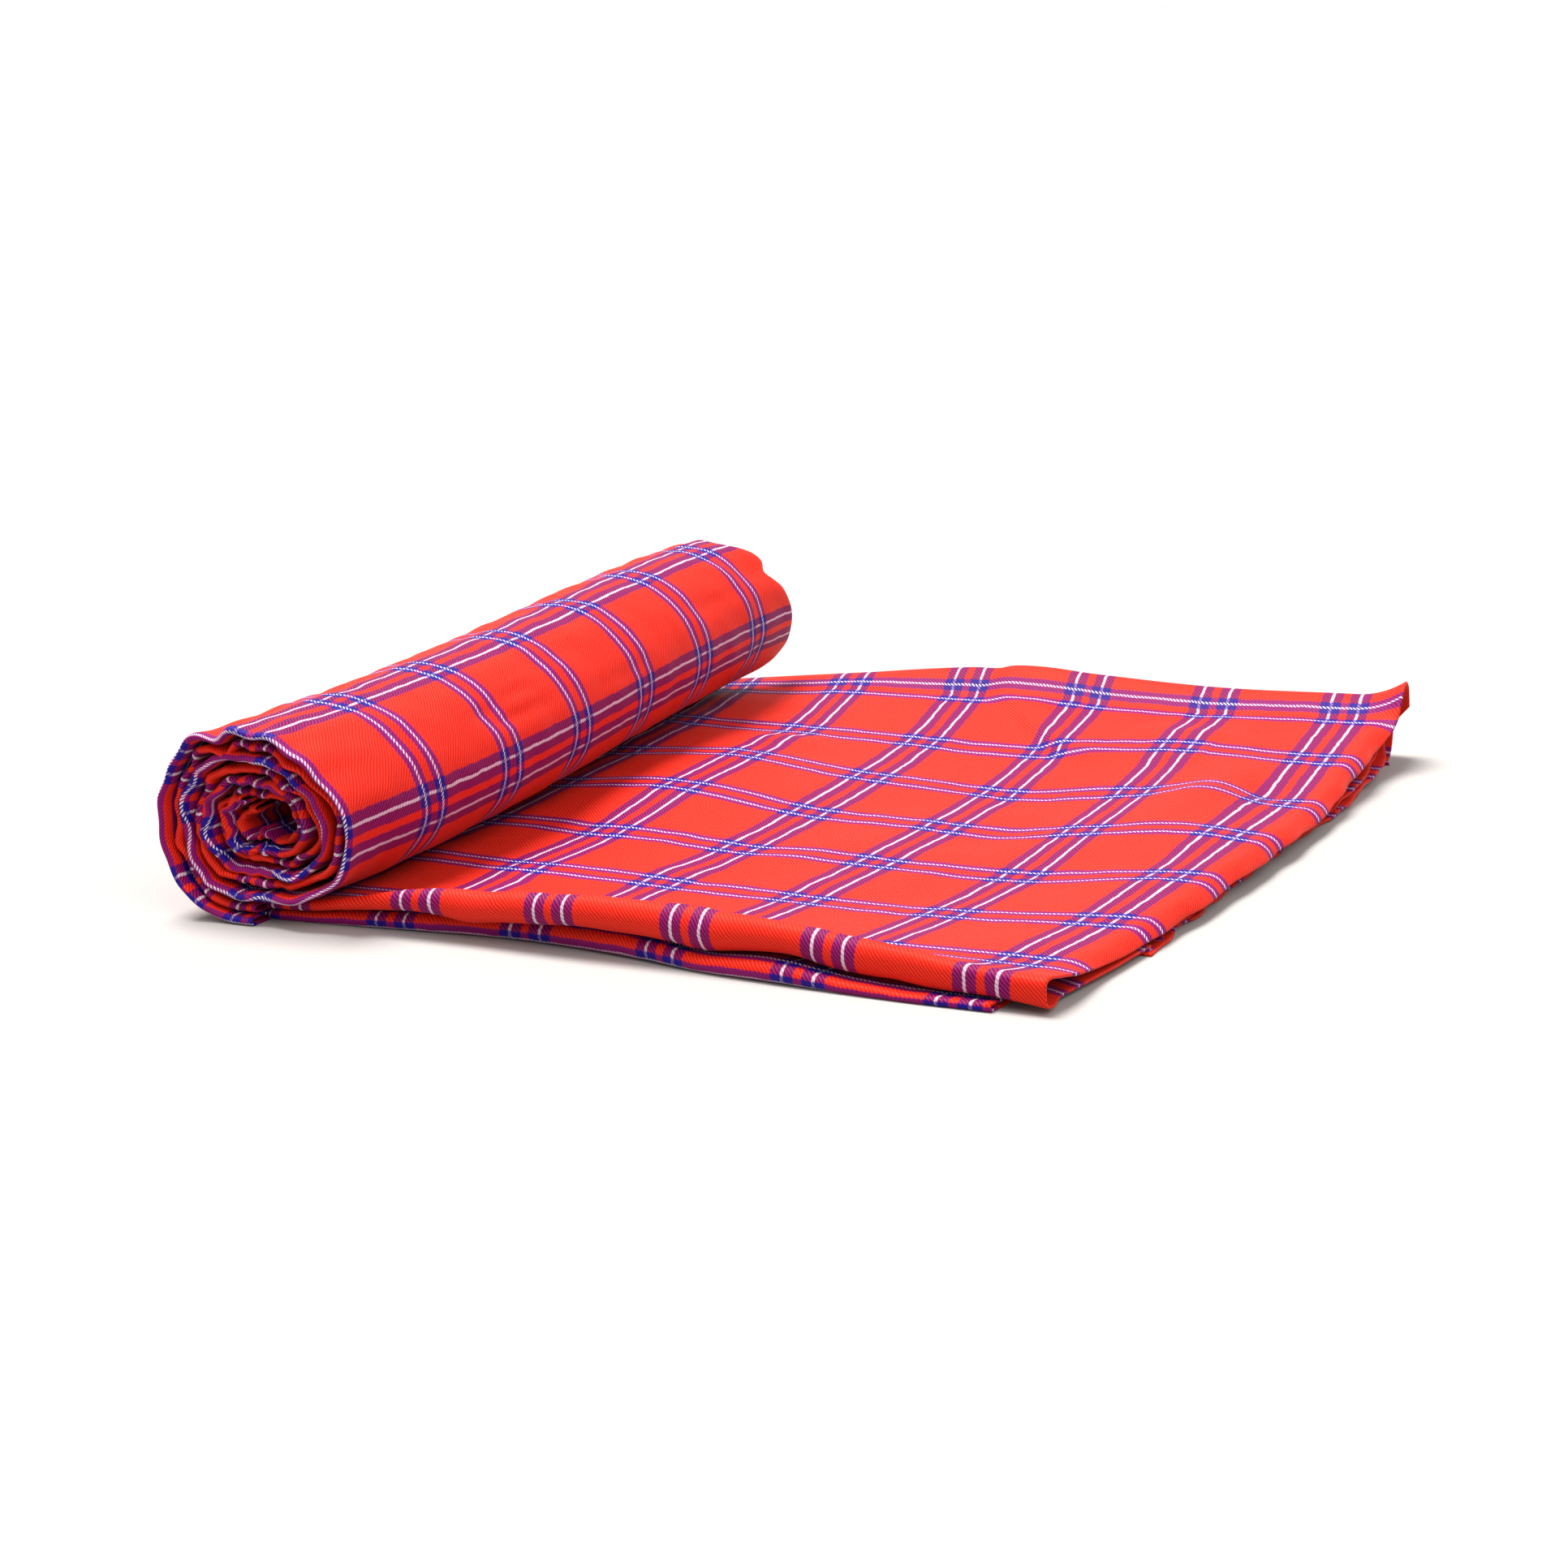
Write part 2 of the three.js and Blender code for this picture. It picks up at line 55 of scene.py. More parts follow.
FRONT_FOLDS = (
    # along, lower fold's face and top, upper fold's face, foot and ridge
    (-272, -18.0, 3.4, -19.0, 3.8, 7.2),
    (-250, -17.0, 4.0, -19.6, 4.6, 8.4),
    (-236, -16.0, 5.2, -20.2, 6.2, 10.4),
    (-205, -13.5, 6.6, -21.0, 8.4, 16.0),
    (-180, -11.5, 6.6, -21.0, 7.4, 18.0),
    (-150, -13.0, 7.6, -22.0, 8.8, 19.6),
    (-120, -17.0, 7.6, -22.0, 8.8, 20.4),
    (-95, -21.5, 5.8, -22.0, 6.8, 20.2),
    (-65, -24.0, 6.8, -22.5, 8.4, 18.6),
    (-40, -25.5, 4.0, -23.0, 4.8, 16.6),
    (-15, -26.5, 2.9, -23.5, 3.4, 13.6),
    (6, -26.5, 2.9, -24.0, 3.3, 12.0),
    (24, -26.5, 2.9, -24.5, 1.4, 11.6),
)
CREST = 8
LOWER_FACE, LOWER_TOP, UPPER_FACE, UPPER_FOOT, UPPER_RIDGE = 1, 2, 3, 4, 5
# Creases pressed in by hand: along, back, rise, reach along, reach back.
RUMPLES = (
    (-22, 207, 5.6, 20, 34),
    (-22, 158, 1.4, 22, 24),
    (-6, 222, -2.4, 9, 16),
    (-85, 205, -1.5, 24, 24),
    (-82, 159, -1.4, 22, 22),
    (-50, 285, 1.4, 26, 14),
    (-222, 110, -1.2, 16, 20),
    (-207, 242, 2.2, 14, 12),
    (-180, 60, 1.2, 30, 18),
    (-130, 120, 0.9, 26, 30),
)
# A pleat edge runs in from the back fold and dies out: along, back, height of its step.
PLEAT_EDGE = (
    (-156, 330, 1.6),
    (-125, 296, 2.8),
    (-100, 266, 3.0),
    (-85, 257, 2.8),
    (-62, 254, 1.8),
    (-40, 250, 0.6),
)
PLEAT_WIDTH = 62
# Small tucks in the front fold: along, how far its foot hangs there, width.
FOLD_TUCKS = ((-183, 1.1, 8), (-141, -0.6, 9), (-96, 0.9, 7), (-52, 0.8, 8), (-28, -0.7, 7))
# The back fold is puffed up a little past the last stripes, most where the pleat starts.
CREST_LIFT = (
    (-272, 0),
    (-212, 0.5),
    (-175, 1.5),
    (-159, 2.2),
    (-148, 2.5),
    (-141, 4.2),
    (-125, 5.0),
    (-106, 4.3),
    (-53, 3.2),
    (0, 3.0),
    (24, 3.4),
)
# The middle of the roll, where the strip runs in: back, along, height.
ROLL_MIDDLE = (
    (-26, -272.0, 33.6),
    (60, -272.0, 34.4),
    (140, -274.0, 37.4),
    (220, -277.5, 41.4),
    (290, -281.0, 43.4),
    (332, -282.0, 43.5),
)
# How far the stripes lean toward the open end where they come over the front ridge.
LEAN = ((-272, 12.0), (-228, 12.0), (-175, 11.0), (-122, 8.0), (-69, 4.0), (-16, 2.0), (24, 1.0))


def read(rows, column, place):
    """A value between the rows of a table, on a smooth curve through them."""
    places = np.array([row[0] for row in rows], float)
    values = np.array([row[column] for row in rows], float)
    slopes = np.empty_like(values)
    slopes[1:-1] = (values[2:] - values[:-2]) / (places[2:] - places[:-2])
    slopes[0] = (values[1] - values[0]) / (places[1] - places[0])
    slopes[-1] = (values[-1] - values[-2]) / (places[-1] - places[-2])
    held = np.clip(np.asarray(place, float), places[0], places[-1])
    low = np.clip(np.searchsorted(places, held, side="left") - 1, 0, len(places) - 2)
    span = places[low + 1] - places[low]
    t = (held - places[low]) / span
    rise = 3 * t**2 - 2 * t**3
    bend = t * (1 - t) ** 2 * slopes[low] * span - t**2 * (1 - t) * slopes[low + 1] * span
    return values[low] + (values[low + 1] - values[low]) * rise + bend


def ease(start, end, value):
    t = np.clip((np.asarray(value, float) - start) / (end - start), 0, 1)
    return t * t * (3 - 2 * t)


def bow(back):
    """The whole strip is bowed: its front and back edges lie farther toward the roll."""
    depth, middle, half_width = 10.3, 150, 168
    return -depth * ((np.asarray(back, float) - middle) / half_width) ** 2


def waver(a, b, seed):
    return noise.noise(Vector((a, b, seed * 7.31)))


def lean(along, back):
    return read(LEAN, 1, along) * (1 - ease(-25, 75, back))


def roll_middle(back):
    return read(ROLL_MIDDLE, 1, back), read(ROLL_MIDDLE, 2, back)


def pleat_step(along, back):
    """The cloth rises over the pleat edge, sinks again behind it and dips a little before it."""
    path = np.array(PLEAT_EDGE)
    line = np.interp(along, path[:, 0], path[:, 1])
    step = np.interp(along, path[:, 0], path[:, 2], left=0, right=0)
    past = back - line
    behind = np.clip(past / PLEAT_WIDTH, 0, 1)
    rise = ease(-11, 5, past) * (1 - behind)
    dip = 0.1 * ease(-34, -10, past) * (1 - ease(-10, 2, past))
    return step * (rise - dip)


def level(along, back):
    """Height of the flat cloth at one place along it, with its creases and small waves."""
    rows = [(depth, float(read(LEVELS, 1 + k, along))) for k, depth in enumerate(DEPTHS)]
    z = read(rows, 1, back)
    for spot_along, spot_back, rise, reach_along, reach_back in RUMPLES:
        aside, behind = (along - spot_along) / reach_along, (back - spot_back) / reach_back
        z = z + rise * np.exp(-(aside**2) - behind**2)
    z = z + pleat_step(along, back)
    broad = np.array([0.75 * waver(along / 34, b / 30, 1) for b in back])
    narrow = np.array([0.35 * waver(along / 11, b / 13, 2) for b in back])
    layers_below = 3.0
    return np.maximum(z + (broad + narrow) * ease(-4, 30, back), layers_below)


def fold_nose(centre, middle, reach, half, facing, squareness, steps):
    """The turn of a fold from its top down, rounder or squarer."""
    turn = np.linspace(0, math.pi, steps + 2)[1:-1]
    out = np.abs(np.sin(turn)) ** (2 / squareness)
    up = np.sign(np.cos(turn)) * np.abs(np.cos(turn)) ** (2 / squareness)
    return centre + facing * reach * out, middle + facing * half * up


def top_cut(along):
    """One cut across the upper two layers: distance back, height, and place in the weave."""
    face = float(read(FRONT_FOLDS, UPPER_FACE, along))
    foot = float(read(FRONT_FOLDS, UPPER_FOOT, along))
    ridge = float(read(FRONT_FOLDS, UPPER_RIDGE, along))
    clear_of_lower_fold = 0.35
    foot += clear_of_lower_fold
    for spot, hang, width in FOLD_TUCKS:
        foot -= hang * math.exp(-(((along - spot) / width) ** 2))
        ridge -= 0.6 * hang * math.exp(-(((along - spot - 7) / width) ** 2))
    half = (ridge - foot) / 2
    reach = half * 0.9
    turn = face + reach
    crest = float(read(LEVELS, CREST, along)) + float(read(CREST_LIFT, 1, along))

    leaf_under_ridge = turn + np.array([70, 58, 46, 36, 27, 19, 12, 7, 3, 0.0])
    two_layers = 2.3
    under_top = np.minimum(level(along, leaf_under_ridge) - two_layers, foot)
    leaf_z = foot + (under_top - foot) * ease(0, 20, leaf_under_ridge - turn)

    squareness = 2 + 1.3 * float(ease(-60, 15, along))
    nose_back, nose_z = fold_nose(turn, foot + half, reach, half, -1, squareness, 12)
    rise_back = turn * (1 - np.linspace(0, 0.9, 8))
    front_level = float(level(along, np.array([0.0]))[0])
    rise_z = front_level + (ridge - front_level) * (rise_back / turn) ** 1.7

    top_back = np.linspace(0, DEPTHS[-1], 128)
    top_z = level(along, top_back)
    crest_back = np.array([321.0, 325.0, 328.0, 331.0])
    crest_z = top_z[-1] + (crest - top_z[-1]) * np.array([0.35, 0.7, 0.9, 1.0])
    end_back, end_z = fold_nose(crest_back[-1], crest / 2, 12, crest / 2, 1, 2, 14)
    ground_back = np.array([331, 328, 324.5])

    back = [leaf_under_ridge, nose_back, rise_back, top_back, crest_back, end_back, ground_back]
    back = np.concatenate(back)
    z = np.concatenate([leaf_z, nose_z, rise_z, top_z, crest_z, end_z, np.zeros(len(ground_back))])
    length = np.concatenate([[0], np.cumsum(np.hypot(np.diff(back), np.diff(z)))])
    first = len(leaf_under_ridge) + len(nose_back) + len(rise_back)
    past_top = first + len(top_back)
    weave = length - length[first]
    weave[first:past_top] = top_back
    weave[past_top:] += top_back[-1] - (length[past_top - 1] - length[first])
    is_leaf = np.zeros(len(back))
    is_leaf[:len(leaf_under_ridge)] = ease(0, 12, leaf_under_ridge - turn)
    return back, z, weave, is_leaf


def lay_cloth(name, net, weave, thickness):
    """A sheet woven from a net of points in mm, with its place in the cloth kept as a map."""
    rows, columns = net.shape[:2]
    spots = (net + np.array([-MIDDLE[0], -MIDDLE[1], 0])) / 1000
    grid = np.arange(rows * columns).reshape(rows, columns)
    quads = np.stack([grid[:-1, :-1], grid[:-1, 1:], grid[1:, 1:], grid[1:, :-1]], -1).reshape(-1, 4)
    mesh = bpy.data.meshes.new(name)
    mesh.from_pydata(spots.reshape(-1, 3).tolist(), [], quads.tolist())
    mesh.uv_layers.new(name="cloth")
    corners = weave.reshape(-1, 2)[quads.reshape(-1)].astype(np.float32)
    mesh.uv_layers["cloth"].data.foreach_set("uv", corners.ravel())
    mesh.polygons.foreach_set("use_smooth", [True] * len(mesh.polygons))
    sheet = bpy.data.objects.new(name, mesh)
    bpy.context.collection.objects.link(sheet)
    wall = sheet.modifiers.new("wall", "SOLIDIFY")
    wall.thickness = thickness / 1000
    wall.offset = 1
    return sheet


def weave_check():
    """The cloth itself: a twill, red on red, with pairs of white stripes along and across it."""
    cloth = bpy.data.materials.new("check_cloth")
    cloth.use_nodes = True
    nodes, links = cloth.node_tree.nodes, cloth.node_tree.links
    skin = nodes["Principled BSDF"]

    def feed(socket, value):
        if isinstance(value, bpy.types.NodeSocket):
            links.new(value, socket)
        else:
            socket.default_value = value

    def calc(operation, *terms, clamp=False):
        node = nodes.new("ShaderNodeMath")
        node.operation = operation
        node.use_clamp = clamp
        for socket, term in zip(node.inputs, terms):
            feed(socket, term)
        return node.outputs[0]

    def dye(share, first, second):
        node = nodes.new("ShaderNodeMix")
        node.data_type = "RGBA"
        feed(node.inputs[0], share)
        feed(node.inputs[6], first)
        feed(node.inputs[7], second)
        return node.outputs[2]

    def speckle(vector, scale, detail):
        node = nodes.new("ShaderNodeTexNoise")
        feed(node.inputs["Vector"], vector)
        node.inputs["Scale"].default_value = scale
        node.inputs["Detail"].default_value = detail
        return node

    def stretched(x, y):
        node = nodes.new("ShaderNodeCombineXYZ")
        feed(node.inputs[0], x)
        feed(node.inputs[1], y)
        return node.outputs[0]

    # The stripes wander a little along their length, as woven and handled cloth does.
    place = nodes.new("ShaderNodeUVMap")
    place.uv_map = "cloth"
    drift = nodes.new("ShaderNodeSeparateColor")
    links.new(speckle(place.outputs[0], 0.16, 2).outputs["Color"], drift.inputs[0])
    split = nodes.new("ShaderNodeSeparateXYZ")
    links.new(place.outputs[0], split.inputs[0])
    along = calc("MULTIPLY_ADD", calc("SUBTRACT", drift.outputs[0], 0.5), 1.3, split.outputs[0])
    across = calc("MULTIPLY_ADD", calc("SUBTRACT", drift.outputs[1], 0.5), 1.1, split.outputs[1])

    def from_line(spot, start, spacing, half_pair):
        wrapped = calc("WRAP", calc("SUBTRACT", spot, start), spacing / 2, -spacing / 2)
        return calc("ABSOLUTE", calc("SUBTRACT", calc("ABSOLUTE", wrapped), half_pair))

    def within(distance, half_width, softness):
        return calc("MULTIPLY_ADD", distance, -1 / softness, 0.5 + half_width / softness, clamp=True)

    warp = from_line(along, 0.3, 53.1, 5.6)
    weft = from_line(across, 0.0, 53.0, 5.0)
    warp_white = within(warp, 0.55, 0.3)
    warp_side = within(warp, 4.1, 0.4)
    weft_white = within(weft, 0.58, 0.3)
    weft_side = within(weft, 3.0, 0.4)

    twill_repeat = 1.5
    slant = calc("MULTIPLY", calc("ADD", along, across), 2 * math.pi / twill_repeat)
    ribs = calc("MULTIPLY_ADD", calc("SINE", slant), 0.8, 0.5, clamp=True)
    dashes = calc("MULTIPLY_ADD", calc("SINE", slant), 2.5, 0.6, clamp=True)

    red, deep_red = (0.70, 0.030, 0.012, 1), (0.42, 0.001, 0.004, 1)
    dark_purple, pink_purple = (0.035, 0.001, 0.080, 1), (0.30, 0.005, 0.060, 1)
    violet, pink_violet = (0.050, 0.002, 0.13, 1), (0.26, 0.03, 0.22, 1)
    blue, white = (0.007, 0.003, 0.17, 1), (0.60, 0.50, 0.53, 1)

    # Red ground, then the purple sides of the pairs along, the violet sides of the pairs across
    # with solid blue where both meet, and last the two white yarns.
    uneven = speckle(stretched(calc("MULTIPLY", along, 0.25), across), 1.1, 3).outputs[0]
    ground = dye(calc("MULTIPLY_ADD", ribs, 0.75, calc("MULTIPLY", uneven, 0.2)), red, deep_red)
    cloth_colour = dye(warp_side, ground, dye(ribs, dark_purple, pink_purple))
    side_dye = dye(calc("MULTIPLY_ADD", ribs, 0.45, 0.05), violet, ground)
    cloth_colour = dye(weft_side, cloth_colour, dye(warp_side, side_dye, blue))
    seen_at_crossing = calc("MULTIPLY_ADD", weft_side, calc("MULTIPLY_ADD", ribs, 0.5, -0.95), 1.0)
    warp_shown = calc("MULTIPLY", warp_white, seen_at_crossing)
    warp_yarn = dye(calc("MULTIPLY", ribs, 0.55), white, pink_violet)
    cloth_colour = dye(warp_shown, cloth_colour, warp_yarn)
    weft_yarn = dye(dashes, dye(warp_side, pink_violet, blue), white)
    cloth_colour = dye(weft_white, cloth_colour, weft_yarn)
    weft_shown = calc("MULTIPLY", weft_white, dashes)
    links.new(cloth_colour, skin.inputs["Base Color"])

    # Raised ribs, a little fuzz and thicker white yarn.
    fuzz = speckle(place.outputs[0], 2.2, 2).outputs[0]
    height = calc("MULTIPLY_ADD", ribs, 0.5, calc("MULTIPLY", fuzz, 0.6))
    height = calc("ADD", height, calc("MULTIPLY", calc("MAXIMUM", warp_shown, weft_shown), 0.4))
    relief = nodes.new("ShaderNodeBump")
    relief.inputs["Strength"].default_value = 0.6
    relief.inputs["Distance"].default_value = 0.0002
    links.new(height, relief.inputs["Height"])
    links.new(relief.outputs[0], skin.inputs["Normal"])
    links.new(calc("MULTIPLY_ADD", fuzz, 0.16, 0.48), skin.inputs["Roughness"])
    skin.inputs["Specular IOR Level"].default_value = 0.16
    skin.inputs["Specular Tint"].default_value = (1.0, 0.5, 0.25, 1)
    skin.inputs["Sheen Weight"].default_value = 0.06
    skin.inputs["Sheen Roughness"].default_value = 0.3
    skin.inputs["Sheen Tint"].default_value = (1.0, 0.45, 0.3, 1)
    return cloth


check_cloth = weave_check()

LIP_START, LIP_RADIUS = 13, 6.5
DENSE_FROM = 0.9666
shares = np.concatenate([np.linspace(0, DENSE_FROM, 128)[:-1], np.linspace(DENSE_FROM, 1, 15)])
net, weave = [], []
for share in shares:
    along = STRIP_START + share * (OPEN_END - STRIP_START)
    back, z, across, is_leaf = top_cut(along)
    # Each line starts at the roll's middle, so the first quarter of the strip is stretched to it.
    start = roll_middle(back)[0] - bow(back)
    here = along + (start - STRIP_START) * max(1 - 4 * share, 0)
    # The end droops over a soft lip, but not at its two corners.
    droop = ease(-16, 24, back) * (1 - ease(296, 322, back)) * (1 - is_leaf)
    past = 0.84 * np.maximum(here - LIP_START, 0)
    radius = LIP_RADIUS + np.array([1.2 * waver(b / 30, 0, 4) for b in back])
    x = here + droop * (radius * np.sin(past / radius) - np.maximum(here - LIP_START, 0))
    z = z - droop * radius * (1 - np.cos(past / radius))
    # The back corner curls up to a tip, and the cloth under the tip stands back.
    lift = max(along - 4, 0) / (OPEN_END - 4)
    z = z + 6 * lift**2 * ease(310, 322, back) * ease(0.55, 1, z / 22)
    x = x - 6.5 * lift * ease(312, 330, back) * (1 - ease(0.55, 0.9, z / 22))
    uneven_end = np.array([1.4 * waver(b / 19, 3, 5) for b in back]) - 3.5 * is_leaf
    x = x + uneven_end * ease(0.93, 1, share)
    net.append(np.stack([x + bow(back), back, np.maximum(z, 0)], -1))
    weave.append(np.stack([here - lean(here, back), across], -1))
top_cloth = lay_cloth("top_cloth", np.array(net), np.array(weave), 0.9)
top_cloth.data.materials.append(check_cloth)
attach(top_cloth, "root")
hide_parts("top_stretch")

# The under stretch: the lowest layer of the strip and the one folded back over it, of the same
# cloth. It lies flat on the surface from the back fold to the lower front fold, whose edge shows
# under the upper one.
UNDER_END = 14
GROUND_STEPS, NOSE_STEPS = 112, 9
NOSE_IN_WEAVE = 739.5
# Its stripes don't meet those above: how far they are off at four of them.
STRIPE_PLACES, STRIPE_SHIFTS = (-228, -175, -122, -69), (-2, -7, -5, -6)
net, weave = [], []
for share in np.linspace(0, 1, 110):
    along = STRIP_START + share * (UNDER_END - STRIP_START)
    half = float(read(FRONT_FOLDS, LOWER_TOP, along)) / 2
    turn = float(read(FRONT_FOLDS, LOWER_FACE, along)) + half
    ground_back = np.linspace(323.6, turn, GROUND_STEPS)
    nose_back, nose_z = fold_nose(turn, half, half * 1.15, half, -1, 2.0, NOSE_STEPS)
    leaf = turn + np.array([0, 3, 7, 12, 19, 28, 38, 50.0])
    pressed_flat = 1.7
    leaf_z = pressed_flat + (2 * half - pressed_flat) * (1 - ease(0, 34, leaf - turn))
    back = np.concatenate([ground_back, nose_back, leaf])
    z = np.concatenate([np.zeros(GROUND_STEPS), nose_z, leaf_z])
    ripple = np.array([0.35 * waver(along / 9, b / 10, 6) for b in back])
    z = z + ripple * ease(0.5, 3, z)
    length = np.concatenate([[0], np.cumsum(np.hypot(np.diff(back), np.diff(z)))])
    across = length - length[GROUND_STEPS + NOSE_STEPS // 2] + NOSE_IN_WEAVE
    start = roll_middle(back)[0] - bow(back)
    uneven_end = np.array([1.5 * waver(b / 23, 5, 7) for b in back])
    end = 6 + 4 * ease(-12, 60, back) + 6 * ease(222, 262, back) + uneven_end
    here = start + share * (end - start)
    net.append(np.stack([here + bow(back), back, np.maximum(z, 0)], -1))
    weave.append(np.stack([here - np.interp(here, STRIPE_PLACES, STRIPE_SHIFTS), across], -1))
under_cloth = lay_cloth("under_cloth", np.array(net), np.array(weave), 0.9)
under_cloth.data.materials.append(check_cloth)
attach(under_cloth, "root")
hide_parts("under_stretch")

# The two inner layers: the halves of the cloth that are folded in, with the selvages in the back
# fold. Only their wavy ends show, one over the other, in the open end under the drooping lip.
for name, share_up, reach, seed, weave_start, weave_way in (
    ("inner_cloth_upper", 0.62, 15.0, 11, -51.0, -1),
    ("inner_cloth_lower", 0.30, 16.5, 12, 768.0, 1),
):
    net, weave = [], []
    back = np.linspace(46, 326, 120)
    wave = np.array([waver(b / 17, 0, seed) + 0.5 * waver(b / 7, 1, seed) for b in back])
    # They show most at the two corners, and stay behind the lip between them.
    corners = 4.5 * (1 - ease(48, 84, back)) - 2.5 * ease(90, 130, back) * (1 - ease(215, 255, back))
    corners = corners + 2.5 * ease(222, 262, back) - 4.0 * ease(308, 326, back)
    end = reach + corners + 2.2 * np.array([waver(b / 15, 2, seed) for b in back])
    for along in np.concatenate([np.linspace(-266, -10, 60), np.linspace(-6, 22, 22)]):
        top = level(along, back) - 1.4
        near_end = float(ease(-8, 20, along))
        lip = 6.3 * ease(-16, 24, back) * (1 - ease(296, 322, back)) * near_end
        open_top = np.maximum(top - lip, 2.2)
        share_here = share_up + 0.2 * near_end * ease(240, 305, back)
        z = 0.9 + share_here * (open_top - 1.2) + 2.6 * near_end * share_up * wave
        start = roll_middle(back)[0] - bow(back)
        here = along + (start - STRIP_START) * max(1 - (along - STRIP_START) / 70, 0)
        here = here + (end - 22) * ease(-6, 22, along)
        net.append(np.stack([here + bow(back), back, np.maximum(z, 1.0)], -1))
        weave.append(np.stack([here, weave_start + weave_way * back], -1))
    inner_cloth = lay_cloth(name, np.array(net), np.array(weave), 0.8)
    inner_cloth.data.materials.append(check_cloth)
    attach(inner_cloth, "root")
    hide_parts("inner_layers")

# The roll: the same four layers wound up loosely by hand to the left, three turns and a half. Its
# front end shows the two front folds as a spiral, the striped one outside and the plain red one
# inside it, round an open core.
WINDING = (
    # degrees turned from under the roll, distance from its middle at the front and at the back
    (0, 33.6, 43.5),
    (45, 36.4, 40.0),
    (90, 36.2, 36.6),
    (135, 36.2, 35.6),
    (180, 33.2, 32.9),
    (225, 35.2, 32.4),
    (270, 41.0, 31.8),
    (315, 33.0, 28.6),
    (337, 27.4, 27.0),
    (360, 25.4, 26.0),
    (405, 28.8, 28.4),
    (450, 28.6, 28.6),
    (495, 27.8, 27.8),
    (540, 24.8, 25.2),
    (585, 26.8, 24.8),
    (630, 31.0, 24.2),
    (675, 24.8, 21.0),
    (697, 19.4, 19.4),
    (720, 17.6, 18.4),
    (765, 21.2, 20.8),
    (810, 21.0, 20.8),
    (855, 19.0, 20.0),
    (900, 16.0, 17.6),
    (945, 18.2, 17.2),
    (990, 21.6, 16.6),
    (1035, 15.6, 13.4),
    (1057, 11.4, 11.8),
    (1080, 10.0, 10.8),
    (1125, 13.4, 13.2),
    (1170, 14.6, 13.2),
    (1215, 12.4, 12.0),
    (1260, 9.6, 10.4),
    (1305, 10.6, 9.8),
    (1350, 13.0, 9.6),
)
FIRST_TURN_END, CORE_END = 372, 1236
FRONT_END, ROLL_DEPTH = -26, 358
# Degrees turned at which each pair of stripes crosses the front rim; the first is the sixth pair.
STRIPE_TURNS = (5, 48, 127, 186, 273, 362, 467, 572, 673, 788, 886, 975, 1090, 1316)
# The far rim isn't straight: degrees turned, distance back of the outermost point of its fold.
FAR_RIM = (
    (0, 322),
    (90, 326),
    (160, 320),
    (193, 317),
    (209, 323),
    (219, 323.5),
    (228, 319.5),
    (236, 321),
    (246, 325),
    (262, 328.5),
    (290, 327.5),
    (315, 322),
    (345, 319),
    (372, 321),
)
# Dents in the outer turn: degrees turned, distance back, depth, reach in degrees, reach back.
DENTS = (
    (238, 76, 1.6, 6, 10),
    (246, 92, 1.3, 4, 20),
    (233, 100, 0.9, 4, 12),
    (221, 130, 0.5, 8, 40),
    (252, 170, 0.6, 5, 26),
    (214, 215, 0.5, 9, 26),
    (236, 262, 0.8, 6, 18),
    (225, 305, 1.6, 12, 12),
    (262, 318, 1.4, 10, 9),
    (70, 150, 1.2, 12, 60),
    (110, 240, 1.0, 14, 50),
)


def along_of_turn():
    """Place along the cloth at each amount turned; slack between stripes lies in small tucks."""
    half_pair = 9.5
    rows = [(0.0, -262.1)]
    for count, turned in enumerate(STRIPE_TURNS):
        spot = 0.3 - 53.1 * (5 + count)
        each_way = math.degrees(half_pair / float(read(WINDING, 1, turned)))
        if turned > each_way:
            rows.append((turned - each_way, spot + half_pair))
        rows.append((turned + each_way, spot - half_pair))
    rows.append((1400.0, rows[-1][1] - 18))
    return np.array(rows)


TURN_TO_ALONG = along_of_turn()
# Columns in front of KEPT keep their spacing; those behind are spread up to the far fold.
KEPT, FAR_FOLD = 40, 357
# Depth of the wound layers: the striped fold lies outside the plain one.
STRIPED_INSIDE, PLAIN_OUTSIDE, PLAIN_INSIDE = 3.0, 3.9, 6.8


def roll_cut(middle_columns):
    """Columns across the wound cloth: distance back, depth in from the outer face, and counts."""
    turn = np.linspace(0, math.pi, 11)[1:-1]
    nose = -2.6 * np.sin(turn)
    leaf = np.array([34, 26, 19, 13, 8, 4, 0.0])
    middle = np.linspace(6, 330, middle_columns)
    outer_back = np.concatenate([np.array([0, 1.5, 3.2]), middle, np.array([338, 345, 350, 354.0])])
    end_turn = np.linspace(0, math.pi, 14)[1:-1]
    inner_back = outer_back[::-1][::2]
    plain_back = 2.0
    parts = [
        (leaf, np.full(len(leaf), STRIPED_INSIDE)),
        (nose, STRIPED_INSIDE / 2 * (1 + np.cos(turn))),
        (outer_back, np.zeros(len(outer_back))),
        (FAR_FOLD + 6.5 * np.sin(end_turn), PLAIN_INSIDE / 2 * (1 - np.cos(end_turn))),
        (inner_back + plain_back, np.full(len(inner_back), PLAIN_INSIDE)),
        (nose + plain_back, 5.35 + 1.45 * np.cos(turn)),
        (leaf[::-1] + plain_back, np.full(len(leaf), PLAIN_OUTSIDE)),
    ]
    back = np.concatenate([part[0] for part in parts])
    deep = np.concatenate([part[1] for part in parts])
    return back, deep, [len(part[0]) for part in parts]


